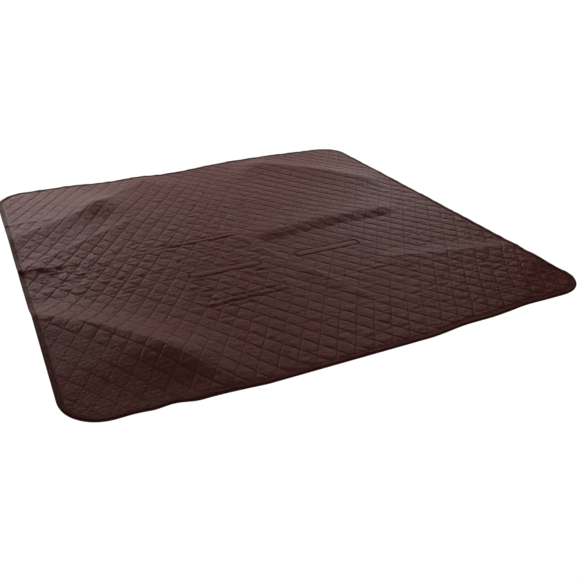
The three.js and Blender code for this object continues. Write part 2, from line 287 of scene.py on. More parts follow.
# ---- How the cloth lies ----
def beside_fold(fold, x, y):
    """How far along a fold's crest each point is, the crest's length, and how far left of it."""
    x0, y0 = (v * MM for v in fold["from"])
    x1, y1 = (v * MM for v in fold["to"])
    span = math.hypot(x1 - x0, y1 - y0)
    dx, dy = (x1 - x0) / span, (y1 - y0) / span
    along = (x - x0) * dx + (y - y0) * dy
    t = np.clip(along / span, 0, 1)
    return along, span, (y - y0) * dx - (x - x0) * dy - fold["bow"] * MM * 4 * t * (1 - t)


def fold_height(fold, x, y):
    along, span, sideways = beside_fold(fold, x, y)
    reach = np.where(sideways > 0, fold["left"], fold["right"]) * MM
    past = outside(along, 0, span) / FOLD_END
    power = np.where((sideways < 0) & fold.get("steep", False), STEEP_POWER, CREST_POWER)
    return fold["height"] * MM * np.exp(-np.abs(sideways / reach) ** power - past**2)


def clear_of_windows(x, y):
    """0 round the windows, 1 well away from them."""
    return smoothstep(away_from(np.abs(x), y, FACING_X, LEVEL_Y) / LEVEL_FADE)


def folds_relief(x, y):
    """How high the cloth's lowest side lies above the floor because of the folds."""
    folds = sum(fold_height(fold, x, y) for fold in FOLDS)
    left, width = FRONT_EDGE
    folds = folds * (left + (1 - left) * smoothstep((y + LENGTH / 2) / width))
    return clear_of_windows(x, y) * np.maximum(0, folds - SLACK_UNDER_FOLDS)


def relief(x, y):
    """The same for the quilted layers, which also lie over the facings."""
    away = away_from(np.abs(x), y, FACING_X, FACING_Y)
    return folds_relief(x, y) + HEM_DROP * (1 - smoothstep(away / LEVEL_FADE))


def hem_imprint(x, y):
    """How the facings' hems and side edges press through: ridges between narrow grooves."""
    shown = np.where(x < 0, 1.0, RIGHT_IMPRINT) * bell(outside(np.abs(x), *FACING_X), IMPRINT_FADE)
    total = 0
    for edge, inward in zip(FACING_Y, (1, -1)):
        depth = (y - edge) * inward
        grooves = bell(depth, HEM_GROOVE_WIDTH) + bell(depth - HEM_WIDTH, HEM_GROOVE_WIDTH)
        ridge = ease(depth, 0, 8) * ease(HEM_WIDTH - depth, 0, 8)
        total = total + shown * (HEM_RIDGE * ridge - HEM_GROOVE * grooves)
    ends = bell(outside(y, *FACING_Y), IMPRINT_FADE)
    for side in FACING_X:
        total = total - SIDE_GROOVE * ends * bell(np.abs(x) - side, SIDE_GROOVE_WIDTH)
    return total


# ---- The quilting's lattice ----
# Stitch lines run where u or v is a whole number: u is constant along the lines that fall to the right,
# and v along those that rise to the right. The steps within a diamond crowd towards its stitch lines.
STEPS = np.array([0, 0.025, 0.065, 0.12, 0.2, 0.3, 0.4, 0.5, 0.6, 0.7, 0.8, 0.88, 0.935, 0.975])
CELLS = math.ceil(WIDTH / 2 / DIAMOND_WIDTH + LENGTH / 2 / DIAMOND_LENGTH) + 1
LINE_SPACING = DIAMOND_WIDTH * DIAMOND_LENGTH / math.hypot(DIAMOND_WIDTH, DIAMOND_LENGTH)


def lattice():
    """u and v at every node of a grid that covers the whole plan."""
    whole = np.arange(-CELLS, CELLS)
    ticks = np.append((whole[:, None] + STEPS).ravel(), CELLS)
    return np.meshgrid(ticks, ticks, indexing="ij")


def plan_of(u, v):
    """Where the node u, v lies."""
    falling, rising = u + FIRST_FALLING, v + FIRST_RISING
    x, y = (falling - rising) * DIAMOND_WIDTH / 2, (falling + rising) * DIAMOND_LENGTH / 2
    shift_x, shift_y = drawn(x, y)
    return x + shift_x, y + shift_y


def to_line(w):
    """How far each node is from the nearest stitch line of one family."""
    return np.abs(w - np.round(w)) * LINE_SPACING


# Where one family of lines runs deeper than the other, and the cloth gathers into ribs between them.
def right_side(x, y):
    return ease(x, -50, 300) * ease(-y, -750, 400)


def back_left(x, y):
    return ease(-x, -100, 350) * ease(y, 50, 300)


def groove_depth(x, y, family):
    """How much of its full depth a family of grooves has, from 0 to 1."""
    ribbed = back_left(x, y) if family == "falling" else right_side(x, y)
    return 1 - SHALLOWER[family] * ribbed


def pressed_flat(x, y):
    """0 where the edge binding or a slot's seam presses the quilting flat, 1 well away from both."""
    free = ease(inset_of(x, y), 10, 20)
    for low, high in LAYER_WINDOWS:
        free = free * ease(beyond_box(x, y, low, high), 3, 12)
    return free


def puff(u, v, x, y):
    """The height of the batting's own soft shape above the stitched lines."""
    total = 0
    for height, width in ((CREASE_DEPTH, CREASE_WIDTH), (PUFF_HEIGHT * pressed_flat(x, y), PUFF_WIDTH)):
        falling = groove_depth(x, y, "falling") * np.exp(-to_line(u) / width)
        rising = groove_depth(x, y, "rising") * np.exp(-to_line(v) / width)
        total = total + height * (1 - falling) * (1 - rising)
    return total


def tightness(x, y):
    """Above 0 where the cloth is stretched and its quilting lies flatter: on the folds' sides, and in the
    corner beyond the highest fold."""
    step = 4 * MM
    across = folds_relief(x + step, y) - folds_relief(x - step, y)
    along = folds_relief(x, y + step) - folds_relief(x, y - step)
    steep = smoothstep(np.hypot(across, along) / (2 * step) / TIGHT_SLOPE)
    corner = ease(-beside_fold(FOLDS[0], x, y)[2], 0, 90)
    return np.maximum(TIGHT_SHARE * steep, corner)


def patch(x, y, middle, half_size):
    """1 in a rectangle of the plan, in mm, falling to 0 round it."""
    across, along = ((v / MM - m) / h for v, m, h in zip((x, y), middle, half_size))
    return np.exp(-(across**4) - along**4)


def wrinkles(u, v, x, y):
    """Small creases, mostly across the cover, and more over the left facing and by the left edge."""
    broad = smooth_noise(x, y, 11 * MM, 21, (3.4, 1))
    fine = smooth_noise(x, y, 7.5 * MM, 22, (2.4, 1))
    creases = 0.5 - 0.6 * np.abs(broad) - 0.4 * np.abs(fine)
    more = 1 + 0.6 * patch(x, y, (-160, -160), (130, 200)) + 0.8 * patch(x, y, (-480, -60), (220, 140))
    amount = more * (1 - 0.7 * tightness(x, y))
    near_line = np.minimum(to_line(u), to_line(v)) / LINE_SPACING
    return WRINKLE_HEIGHT * amount * creases * np.minimum(1, 8 * near_line)


# ---- The cloth simulation ----
SLACK = 0.0012  # the share by which the cloth is cut larger than its room
EXTRA_SLACK = 0.005  # the same across the ribs
START_JITTER = 0.8 * MM
ROUNDS = 150
LIFT = 0.003 * MM  # the batting's push, each round
KEEP_SPEED = 0.9
BENDING = 0.06


def links(shape, down, across):
    """Pairs of slices that join each node to one neighbour, in two sets that don't share nodes."""
    rows, columns = shape
    for parity in (0, 1):
        if down:
            a_rows, b_rows = slice(parity, rows - 1, 2), slice(parity + 1, rows, 2)
            right, left = max(across, 0), max(-across, 0)
            a_columns, b_columns = slice(left, columns - right), slice(right, columns - left)
        else:
            a_rows = b_rows = slice(None)
            a_columns, b_columns = slice(parity, columns - 1, 2), slice(parity + 1, columns, 2)
        yield (a_rows, a_columns), (b_rows, b_columns)


def slack_length(ax, ay, bx, by):
    """The cloth's own length between two nodes. It is cut a little larger than the room it has, and the
    more so across the ribs, so that it puckers."""
    dx, dy = bx - ax, by - ay
    x, y = (ax + bx) / 2, (ay + by) / 2
    rib = math.hypot(DIAMOND_WIDTH, DIAMOND_LENGTH)
    across_falling = (dx * DIAMOND_LENGTH + dy * DIAMOND_WIDTH) / rib
    across_rising = (dx * DIAMOND_LENGTH - dy * DIAMOND_WIDTH) / rib
    right, left = right_side(x, y), back_left(x, y)
    middle = (1 - right) * (1 - left)
    square = (dx * dx + dy * dy) * (1 + 2 * SLACK)
    square += 2 * EXTRA_SLACK * right * across_falling**2
    square += 2 * EXTRA_SLACK * left * across_rising**2
    square += 2 * EXTRA_SLACK * middle * dy**2
    return np.sqrt(square)


def settle(x, y, low, held):
    """The face cloth's points once it has settled over the batting. The held nodes are sewn down."""
    rng = np.random.default_rng(7)
    start = low + rng.uniform(0, START_JITTER, x.shape) * ~held
    points = np.stack([x, y, start], axis=-1).astype(np.float32)
    low = low.astype(np.float32)
    free = (~held).astype(np.float32)
    work = []
    for down, across in ((1, 0), (0, 1), (1, 1), (1, -1)):
        for a, b in links(x.shape, down, across):
            length = slack_length(x[a], y[a], x[b], y[b]).astype(np.float32)
            share = np.maximum(free[a] + free[b], 1)
            work.append((a, b, length, (free[a] / share)[..., None], (free[b] / share)[..., None]))
    before = points.copy()
    for _ in range(ROUNDS):
        speed = (points - before) * KEEP_SPEED * free[..., None]
        before = points.copy()
        points += speed
        points[..., 2] += LIFT * free
        for a, b, length, share_a, share_b in work:
            gap = points[b] - points[a]
            now = np.sqrt(np.einsum("ijk,ijk->ij", gap, gap))
            gap *= ((now - length) / now)[..., None]
            points[a] += gap * share_a
            points[b] -= gap * share_b
        bend = bumpiness(bumpiness(points[..., 2]))
        points[..., 2] -= BENDING * bend * free
        np.maximum(points[..., 2], low, out=points[..., 2])
    return points


def bumpiness(z):
    """How far each node lies below the mean of its neighbours."""
    out = np.zeros_like(z)
    out[1:-1, 1:-1] = (z[:-2, 1:-1] + z[2:, 1:-1] + z[1:-1, :-2] + z[1:-1, 2:]) / 4 - z[1:-1, 1:-1]
    return out


# ---- Materials ----
SHEEN_ROUGHNESS = 0.45
SHEEN_TINT = (1.0, 0.66, 0.61, 1)
SPECULAR_TINT = (1.0, 0.8, 0.77, 1)
BANDS = 0.31  # the wave texture's scale, for threads one unit apart


def set_inputs(node, values):
    for name, value in values.items():
        node.inputs[name].default_value = value


def new_material(name):
    material = bpy.data.materials.new(name)
    material.use_nodes = True
    tree = material.node_tree
    return material, tree, tree.nodes["Principled BSDF"]


def add_node(tree, kind, settings, **inputs):
    node = tree.nodes.new(kind)
    for key, value in settings.items():
        setattr(node, key, value)
    set_inputs(node, inputs)
    return node


def noise(tree, coordinates, size, detail, roughness=0.55):
    """Noise whose bumps are about size across, in metres."""
    node = add_node(tree, "ShaderNodeTexNoise", {}, Scale=1 / size, Detail=detail, Roughness=roughness)
    tree.links.new(coordinates, node.inputs["Vector"])
    return node.outputs["Fac"]


def combined(tree, operation, *values):
    """A Math node's result, worked out from sockets and plain numbers."""
    node = add_node(tree, "ShaderNodeMath", {"operation": operation})
    for socket, value in zip(node.inputs, values):
        if isinstance(value, float):
            socket.default_value = value
        else:
            tree.links.new(value, socket)
    return node.outputs[0]


def ramp(tree, value, stops):
    node = tree.nodes.new("ShaderNodeValToRGB")
    for element, (position, color) in zip(node.color_ramp.elements, stops):
        element.position = position
        element.color = (*color, 1)
    tree.links.new(value, node.inputs["Fac"])
    return node.outputs["Color"]


def bump(tree, height, strength, distance, normal=None):
    node = add_node(tree, "ShaderNodeBump", {}, Strength=strength, Distance=distance)
    tree.links.new(height, node.inputs["Height"])
    if normal is not None:
        tree.links.new(normal, node.inputs["Normal"])
    return node.outputs["Normal"]


def band_wave(tree, coordinates, direction, spacing):
    """Parallel threads of one spacing."""
    node = add_node(
        tree, "ShaderNodeTexWave", {"wave_type": "BANDS", "bands_direction": direction},
        Scale=BANDS / spacing, Distortion=1.5, Detail=1.0,
    )
    tree.links.new(coordinates, node.inputs["Vector"])
    return node.outputs["Fac"]


def cloth_material(
    name, dark, light, weave, fuzz, crumpled=0.0, roughness=0.45, specular=0.008, sheen=0.004
):
    """Woven or brushed cloth: a soft mottle between two colours, threads of one spacing, and fuzz."""
    material, tree, shader = new_material(name)
    place = tree.nodes.new("ShaderNodeTexCoord").outputs["Object"]
    fine = combined(tree, "MULTIPLY", noise(tree, place, 2.2 * MM, 5, 0.65), 0.6)
    mottle = combined(tree, "MULTIPLY_ADD", noise(tree, place, 60 * MM, 3), 0.45, fine)
    tree.links.new(ramp(tree, mottle, [(0.25, dark), (0.8, light)]), shader.inputs["Base Color"])
    woven = combined(tree, "MULTIPLY", *(band_wave(tree, place, axis, weave) for axis in "XY"))
    normal = bump(tree, noise(tree, place, CRUMPLE_SIZE, 2), crumpled, 3 * MM)
    normal = bump(tree, woven, 0.25, 0.3 * MM, normal)
    normal = bump(tree, noise(tree, place, fuzz, 4, 0.7), 0.35, 0.5 * MM, normal)
    tree.links.new(normal, shader.inputs["Normal"])
    set_inputs(shader, {
        "Roughness": roughness,
        "Specular IOR Level": specular,
        "Specular Tint": SPECULAR_TINT,
        "Sheen Weight": sheen,
        "Sheen Roughness": SHEEN_ROUGHNESS,
        "Sheen Tint": SHEEN_TINT,
    })
    return material


def thread_material(name, dark, light):
    return cloth_material(name, dark, light, 0.3 * MM, 0.5 * MM, roughness=0.8, specular=0.01, sheen=0.0)


FACE = cloth_material(
    "face_microfibre", (0.060, 0.0163, 0.0137), (0.095, 0.0283, 0.0243), 0.5 * MM, 1.2 * MM, crumpled=0.75
)
PLAIN = cloth_material(
    "plain_strip", (0.064, 0.0178, 0.0150), (0.092, 0.0280, 0.0242), 0.6 * MM, 1.4 * MM, crumpled=0.75
)
LINING = cloth_material(
    "lining_weave", (0.036, 0.0102, 0.0086), (0.056, 0.0172, 0.0148), 0.6 * MM, 1.5 * MM,
    roughness=0.6, specular=0.02, sheen=0.01,
)
BINDING = cloth_material(
    "binding_tape", (0.036, 0.0088, 0.0070), (0.057, 0.0152, 0.0123), 0.7 * MM, 1.5 * MM, roughness=0.6
)
WADDING = cloth_material(
    "wadding_fibre", (0.55, 0.52, 0.48), (0.72, 0.70, 0.66), 3 * MM, 4 * MM,
    roughness=0.95, specular=0.2, sheen=0.2,
)
TAPE = cloth_material(
    "hook_and_loop", (0.012, 0.004, 0.003), (0.024, 0.009, 0.008), 1.2 * MM, 0.8 * MM,
    roughness=0.8, specular=0.2, sheen=0.05,
)
# Near black: partly the thread's own dark colour, partly painted shade that darkens the stitch lines to
# stand in for the shade in the creases they sit in.
THREAD_WITH_PAINTED_SHADE = thread_material("sewing_thread_with_painted_shade", (0.008, 0.0016, 0.0012), (0.013, 0.0033, 0.0028))
SEAM_THREAD = thread_material("matching_thread", (0.034, 0.0095, 0.0080), (0.050, 0.0150, 0.0130))


# ---- The quilted layers ----
def settled_face():
    """The face cloth's nodes."""
    u, v = lattice()
    x, y = plan_of(u, v)
    base = relief(x, y) + GROOVE_HEIGHT
    held = (to_line(u) < TOUCHING) | (to_line(v) < TOUCHING)
    nodes = settle(x, y, base + PUFFED_BEFORE * puff(u, v, x, y), held)
    nodes[..., 2] -= TIGHT_FLAT * tightness(x, y) * (nodes[..., 2] - base)
    nodes[..., 2] += hem_imprint(x, y) + wrinkles(u, v, x, y)
    free_of_binding = ease(inset_of(x, y), 12.5, 9)
    nodes[..., 2] = base + free_of_binding * (nodes[..., 2] - base)
    return nodes


def backing_nodes():
    """The backing's nodes. It lies on the floor or the facings, pulled up a little by the stitches."""
    u, v = (w[::2, ::2] for w in lattice())
    x, y = plan_of(u, v)
    groove = np.exp(-np.minimum(to_line(u), to_line(v)) / BACKING_GROOVE_WIDTH)
    over_facing = 1 - ease(away_from(np.abs(x), y, FACING_X, FACING_Y), 0, 12)
    z = relief(x, y) + BACKING_HEIGHT + over_facing * FACING_CLOTH + BACKING_GROOVE * groove
    return np.stack([x, y, z], axis=-1)


def trimmed(points, edge):
    """A grid of nodes cut along a line this far inside the outline: its points and the quads left."""
    quads = grid_quads(*points.shape[:2])
    points = points.reshape(-1, 3).astype(float)
    inside = inset_of(points[:, 0], points[:, 1]) > edge
    quads = quads[inside[quads].any(axis=1)]
    over = np.unique(quads)
    over = over[~inside[over]]
    x, y = points[over, 0], points[over, 1]
    step = 0.5 * MM
    for _ in range(3):
        depth = inset_of(x, y)
        slope_x = (inset_of(x + step, y) - depth) / step
        slope_y = (inset_of(x, y + step) - depth) / step
        move = (edge - depth) / np.maximum(slope_x**2 + slope_y**2, 0.3)
        x, y = x + move * slope_x, y + move * slope_y
    points[over, 0], points[over, 1] = x, y
    return points, quads


CUT_REACH = 12 * MM  # how far round a window its cuts go
WALL_REACH = 1.2 * MM  # how far from a window's side a turned-down point still belongs to it


def faces_within(faces, low, high, reach):
    """The faces whose middle is in a rectangle of the plan, grown by a reach."""
    found = []
    for face in faces:
        x, y, _ = face.calc_center_median()
        if low.x - reach < x < high.x + reach and low.y - reach < y < high.y + reach:
            found.append(face)
    return found


def cut_windows(piece):
    """Cuts the slots' windows cleanly out of a cloth."""
    with edited(piece) as mesh:
        for low, high in LAYER_WINDOWS:
            near = faces_within(mesh.faces, low, high, CUT_REACH)
            for at, across in ((low, (1, 0, 0)), (low, (0, 1, 0)), (high, (1, 0, 0)), (high, (0, 1, 0))):
                around = near + [e for f in near for e in f.edges] + [p for f in near for p in f.verts]
                around = list(dict.fromkeys(around))
                made = bmesh.ops.bisect_plane(mesh, geom=around, plane_co=at, plane_no=across, dist=1e-6)
                near = [f for f in made["geom"] if isinstance(f, bmesh.types.BMFace)]
            bmesh.ops.delete(mesh, geom=faces_within(near, low, high, 0), context="FACES")


def turn_down_windows(piece, steps):
    """Rolls a cloth's cut edges down into the windows, by (towards the window's middle, down) steps."""
    with edited(piece) as mesh:
        for low, high in LAYER_WINDOWS:
            middle, half = (low + high) / 2, (high - low) / 2
            open_edges = [e for e in mesh.edges if e.is_boundary]
            rim = [e for e in open_edges if all(beyond_box(*p.co.xy, low, high) < TOUCHING for p in e.verts)]
            for inward, down in steps:
                made = bmesh.ops.extrude_edge_only(mesh, edges=rim)["geom"]
                rim = [e for e in made if isinstance(e, bmesh.types.BMEdge) and e.is_boundary]
                for point in {p for e in rim for p in e.verts}:
                    for axis in (0, 1):
                        off_middle = point.co[axis] - middle[axis]
                        if abs(off_middle) > half[axis] - WALL_REACH:
                            point.co[axis] -= math.copysign(inward, off_middle)
                    point.co.z -= down
        mesh.normal_update()


def closed_layer(top, bottom, quads):
    """A closed layer between two sheets of points that share their quads: its points and faces."""
    top, numbers = only_used(top, quads)
    bottom, _ = only_used(bottom, quads)
    edges = np.concatenate([numbers[:, [i, (i + 1) % 4]] for i in range(4)])
    twins = {tuple(e) for e in edges[:, ::-1].tolist()}
    rim = np.array([e for e in edges.tolist() if tuple(e) not in twins])
    count = len(top)
    walls = np.stack([rim[:, 1], rim[:, 0], rim[:, 0] + count, rim[:, 1] + count], axis=1)
    faces = np.concatenate([numbers, numbers[:, ::-1] + count, walls])
    return np.concatenate([top, bottom]), faces


def add_piece(piece, body, slot, *nodes):
    """Makes a piece ride on a body and lets it stand for CAD nodes, which it hides. The slot, its finish's
    name, is not used.
    """
    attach(piece, body)
    if nodes:
        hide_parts(*nodes)
    return piece


def outside_windows(points, quads, margin):
    """The quads that stay clear of the windows by a margin."""
    middle = points[quads].mean(axis=1)
    keep = np.ones(len(quads), bool)
    for low, high in LAYER_WINDOWS:
        beside = outside(middle[:, 0], low.x, high.x) + outside(middle[:, 1], low.y, high.y)
        keep &= beside > margin
    return quads[keep]


def lowest_nearby(z):
    """Each node's height let down to the lowest of those up to two nodes away."""
    for axis in (0, 1):
        padded = np.pad(z, [(2, 2) if a == axis else (0, 0) for a in (0, 1)], mode="edge")
        z = np.lib.stride_tricks.sliding_window_view(padded, 5, axis=axis).min(axis=-1)
    return z


# How far inside the outline each layer is cut; the binding hides all three cut edges.
FACE_EDGE, BACKING_EDGE, BATTING_EDGE = 3 * MM, 3.4 * MM, 5 * MM
BATTING_GAP = (0.4 * MM, 0.9 * MM)  # from the backing, and from the lowest of the face cloth nearby
LEAST_BATTING = 0.2 * MM


def quilted_layers():
    nodes = settled_face()
    points, quads = trimmed(nodes, FACE_EDGE)
    face = array_piece("quilted_face", *only_used(points, quads), FACE)
    cut_windows(face)
    turn_down_windows(face, [(0.3 * MM, 0.6 * MM), (0.3 * MM, 1.6 * MM)])
    add_piece(face, BODY, "face_cloth", "face_cloth")
    under = backing_nodes()
    points, quads = trimmed(under, BACKING_EDGE)
    backing = array_piece("quilted_backing", *only_used(points, quads[:, ::-1]), LINING)
    cut_windows(backing)
    add_piece(backing, BODY, "lining_cloth", "backing_cloth")
    below, quads = trimmed(under, BATTING_EDGE)
    below[:, 2] += BATTING_GAP[0]
    above = below.copy()
    above[:, 2] = lowest_nearby(nodes[..., 2])[::2, ::2].ravel() - BATTING_GAP[1]
    above[:, 2] = np.maximum(above[:, 2], below[:, 2] + LEAST_BATTING)
    quads = outside_windows(below, quads, 2 * MM)
    batting = array_piece("quilted_batting", *closed_layer(above, below, quads), WADDING)
    add_piece(batting, BODY, "wadding", "batting")
    return nodes, face, backing, batting


face_nodes, face, backing, batting = quilted_layers()


# ---- Stitches ----
UP = np.array([0.0, 0.0, 1.0])
# Kinds of stitch: how far apart they are, and their length, width and height.
QUILTING_STITCH = (4.0 * MM, 3.4 * MM, 1.1 * MM, 0.6 * MM)
BINDING_STITCH = (3.2 * MM, 2.5 * MM, 0.7 * MM, 0.55 * MM)
SEAM_STITCH = (2.9 * MM, 2.3 * MM, 0.55 * MM, 0.5 * MM)


def grains(middles, ahead, up, length, width, height):
    """Small pointed grains, the shape of a stitch seen from above: their points and faces."""
    side = np.cross(up, ahead)
    corners = [ahead * length, side * width, up * height]
    points = np.stack([middles + sign * c / 2 for c in corners for sign in (1, -1)], axis=1)
    eight = [(0, 2, 4), (2, 1, 4), (1, 3, 4), (3, 0, 4), (2, 0, 5), (1, 2, 5), (3, 1, 5), (0, 3, 5)]
    faces = (np.arange(len(middles))[:, None, None] * 6 + np.array(eight)).reshape(-1, 3)
    return points.reshape(-1, 3), faces


def along_line(line, pitch):
    """Points about a pitch apart down the middle of a line's stitches, and the line's heading at each."""
    run = np.concatenate([[0], np.cumsum(np.linalg.norm(np.diff(line, axis=0), axis=1))])
    at = np.arange(pitch / 2, run[-1], pitch)
    before, middle, after = (
        np.stack([np.interp(at + d, run, line[:, k]) for k in range(3)], axis=1) for d in (-MM, 0, MM)
    )
    return middle, unit(after - before)


def stitched(name, lines, stitch, material, keep=None):
    """Rows of one kind of stitch along lines, less those that aren't to be kept."""
    pitch, *size = stitch
    rows = [along_line(np.asarray(line, float), pitch) for line in lines]
    middles, ahead = (np.concatenate(values) for values in zip(*rows))
    if keep:
        chosen = keep(middles)
        middles, ahead = middles[chosen], ahead[chosen]
    points, faces = grains(middles, ahead, UP, *size)
    return array_piece(name, points, faces, material)


def surface_of(piece):
    """A function that gives a piece's height above each point of the plan, from its upper side."""
    mesh = piece.data
    tree = BVHTree.FromPolygons([p.co for p in mesh.vertices], [f.vertices for f in mesh.polygons])

    def height(x, y):
        hit = tree.ray_cast(Vector((x, y, 1)), Vector((0, 0, -1)))[0]
        return hit.z if hit else 0.0

    return height


def laid_on(height, plan, lift):
    """A line of the plan laid on a surface, a lift above it."""
    return [(x, y, height(x, y) + lift) for x, y in plan]


def on_the_panel(points):
    """Which points are on the quilting, clear of the binding and the windows."""
    x, y = points[:, 0], points[:, 1]
    keep = inset_of(x, y) > 12 * MM
    for low, high in LAYER_WINDOWS:
        keep &= beyond_box(x, y, low, high) > 4.5 * MM
    return keep


def quilting_thread(nodes):
    nodes = nodes + 0.25 * MM * UP
    falling = [nodes[i] for i in range(0, nodes.shape[0], len(STEPS))]
    rising = [nodes[:, i] for i in range(0, nodes.shape[1], len(STEPS))]
    piece = stitched("quilting_thread", falling + rising, QUILTING_STITCH, THREAD_WITH_PAINTED_SHADE, on_the_panel)
    return add_piece(piece, BODY, "thread")


thread = quilting_thread(face_nodes)


# ---- The edge binding ----
def outline_point(distance, inset):
    """The point a distance round the outline from the middle of the right edge, moved in by an inset."""
    half_x, half_y = WIDTH / 2 - CORNER_RADIUS, LENGTH / 2 - CORNER_RADIUS
    arc = CORNER_RADIUS * math.pi / 2
    quarter, along = divmod(distance, half_x + half_y + arc)
    out, ahead = (half_y, half_x) if quarter % 2 else (half_x, half_y)
    past = along - ahead
    turn = min(max(past, 0), arc) / CORNER_RADIUS
    out += (CORNER_RADIUS - inset) * math.cos(turn) - max(past - arc, 0)
    ahead = min(along, ahead) + (CORNER_RADIUS - inset) * math.sin(turn)
    cos, sin = math.cos(quarter * math.pi / 2), math.sin(quarter * math.pi / 2)
    return out * cos - ahead * sin, out * sin + ahead * cos


PERIMETER = 2 * (WIDTH + LENGTH) - (8 - 2 * math.pi) * CORNER_RADIUS
# The binding's section, as (inset, height) in millimetres: over the top, round the edge, and back below.
BINDING_OUTSIDE = [
    (13.2, 5.5), (12.6, 6.2), (11.2, 6.3), (9.8, 6.0), (8.0, 6.5), (5.6, 7.0), (3.4, 6.9), (1.5, 6.1),
    (0.3, 4.8), (0.0, 3.6), (0.4, 2.3), (1.6, 1.0), (3.4, 0.3), (6.0, 0.1), (9.8, 0.6), (12.4, 0.3),
    (13.0, 0.8),
]
BINDING_CLOTH = 0.9  # its thickness in millimetres, inwards from this line
SEAM_INSET = 9.8 * MM


def binding_section():
    """The closed section of the folded tape."""
    outside_line = np.array(BINDING_OUTSIDE)
    ahead = unit(np.gradient(outside_line, axis=0))
    inward = np.stack([-ahead[:, 1], ahead[:, 0]], axis=1)
    inside_line = outside_line + inward * BINDING_CLOTH
    return np.concatenate([outside_line, inside_line[::-1]]) * MM


def edge_binding():
    section = binding_section()
    count = round(PERIMETER / (4 * MM))
    rings = []
    for i in range(count):
        distance = PERIMETER * i / count
        shift_x, shift_y = drawn(*outline_point(distance, 0))
        ring = []
        for inset, height in section:
            x, y = outline_point(distance, inset)
            ring.append((x + shift_x, y + shift_y, height))
        rings.append(ring)
    points = np.array(rings)
    x, y = points[..., 0], points[..., 1]
    ripple = 0.5 * MM * smooth_noise(x, y, 16 * MM, 3) + 0.4 * MM * smooth_noise(x, y, 45 * MM, 4)
    upper = ease(points[..., 2], 2, 5)
    points[..., 2] += relief(x, y) + np.maximum(ripple, -0.6 * MM) * upper
    quads = grid_quads(count, len(section), wrap_rows=True, wrap_columns=True)
    return array_piece("edge_binding_tape", points.reshape(-1, 3), quads, BINDING)


def binding_stitches():
    """The binding's one seam, which shows on both sides of the cover."""
    count = round(PERIMETER / (5 * MM))
    plan = []
    for i in range(count + 1):
        distance = PERIMETER * (i % count) / count
        x, y = outline_point(distance, SEAM_INSET)
        shift_x, shift_y = drawn(*outline_point(distance, 0))
        plan.append((x + shift_x, y + shift_y))
    above = laid_on(surface_of(binding), plan, 0.15 * MM)
    below = [(x, y, float(relief(x, y)) + 0.35 * MM) for x, y in plan]
    return stitched("edge_binding_stitches", [above, below], BINDING_STITCH, THREAD_WITH_PAINTED_SHADE)


binding = add_piece(edge_binding(), BODY, "binding_cloth", "edge_binding")
binding_seam = add_piece(binding_stitches(), BODY, "thread", "binding_stitch")


# ---- The belt slots ----
def bar(name, low, high, rounding, material, wander=0.0):
    """A soft strip along X with rounded edges and ends, that wanders a little up and down."""
    around = 20
    half_y, half_z = (high.y - low.y) / 2, (high.z - low.z) / 2
    round_y, round_z = min(rounding, half_y), min(rounding, half_z)
    angle = (np.arange(around) + 0.5) * 2 * math.pi / around
    section_y = np.sign(np.cos(angle)) * (half_y - round_y) + round_y * np.cos(angle)
    section_z = np.sign(np.sin(angle)) * (half_z - round_z) + round_z * np.sin(angle)
    middle = np.linspace(low.x + rounding, high.x - rounding, 60)
    first = low.x + rounding * np.array([0.02, 0.15, 0.45])
    stations = np.concatenate([first, middle, (low.x + high.x) - first[::-1]])
    into = np.minimum(stations - low.x, high.x - stations) / rounding
    scale = np.sqrt(1 - np.clip(1 - into, 0, 1) ** 2)[:, None]
    y = (low.y + high.y) / 2 + section_y * (1 - (1 - scale) * rounding / half_y)
    z = (low.z + high.z) / 2 + section_z * scale
    x = np.repeat(stations[:, None], around, axis=1)
    if wander:
        z = z + wander * smooth_noise(x, y, 22 * MM, 31, (1, 3))
    rows = len(stations)
    last = (rows - 1) * around
    quads = [tuple(q) for q in grid_quads(rows, around, wrap_columns=True)]
    caps = [tuple(range(around)), tuple(last + i for i in reversed(range(around)))]
    points = np.stack([x, y, z], axis=-1).reshape(-1, 3)
    piece = mesh_piece(name, points, quads + caps, material)
    outwards(piece)
    return piece


def spaced(*stops, step=5 * MM):
    """Grid lines that meet each stop and are about a step apart between them."""
    lines = []
    for start, end in zip(stops, stops[1:]):
        count = max(1, round((end - start) / step))
        lines.extend(start + (end - start) * i / count for i in range(count))
    return np.array(lines + [stops[-1]])


def cloth_panel(xs, ys, low, high, hole=None):
    """A closed patch of cloth draped over the folds, with a hole left in it: its points and faces."""
    x, y = np.meshgrid(xs, ys, indexing="ij")
    soft = 0.12 * MM * smooth_noise(x, y, 17 * MM, 41)
    ground = folds_relief(x, y)
    top = np.stack([x, y, ground + high + soft], axis=-1).reshape(-1, 3)
    bottom = np.stack([x, y, ground + low + soft * 0.5], axis=-1).reshape(-1, 3)
    quads = grid_quads(len(xs), len(ys))
    if hole:
        middle = top[quads].mean(axis=1)
        quads = quads[beyond_box(middle[:, 0], middle[:, 1], *hole) > 0]
    return closed_layer(top, bottom, quads)


def collar_wall(low, high, base, top):
    """The facing where it turns up and lines a window's walls: its closed points and faces."""
    rounded = [(0, top - 0.5), (0.1, top - 0.1), (0.4, top), (0.7, top - 0.1), (0.8, top - 0.5)]
    section = np.array([(0, base), *rounded, (0.8, base)]) * MM
    rings = []
    for sx, sy, turn in ((1, 1, 0), (-1, 1, 1), (-1, -1, 2), (1, -1, 3)):
        x = (high.x if sx > 0 else low.x) - sx * MM
        y = (high.y if sy > 0 else low.y) - sy * MM
        for step in range(5):
            angle = math.pi / 2 * (turn + step / 4)
            cos, sin = math.cos(angle), math.sin(angle)
            rings.append([(x + (MM + out) * cos, y + (MM + out) * sin, z) for out, z in section])
    points = np.array(rings)
    quads = grid_quads(len(rings), len(section), wrap_rows=True, wrap_columns=True)
    return points.reshape(-1, 3), quads


def joined(name, parts, material):
    """One piece made of several parts' points and quads."""
    points, quads = zip(*parts)
    starts = np.cumsum([0] + [len(p) for p in points])
    quads = np.concatenate([q + start for q, start in zip(quads, starts)])
    piece = array_piece(name, np.concatenate(points), quads, material)
    outwards(piece)
    return piece


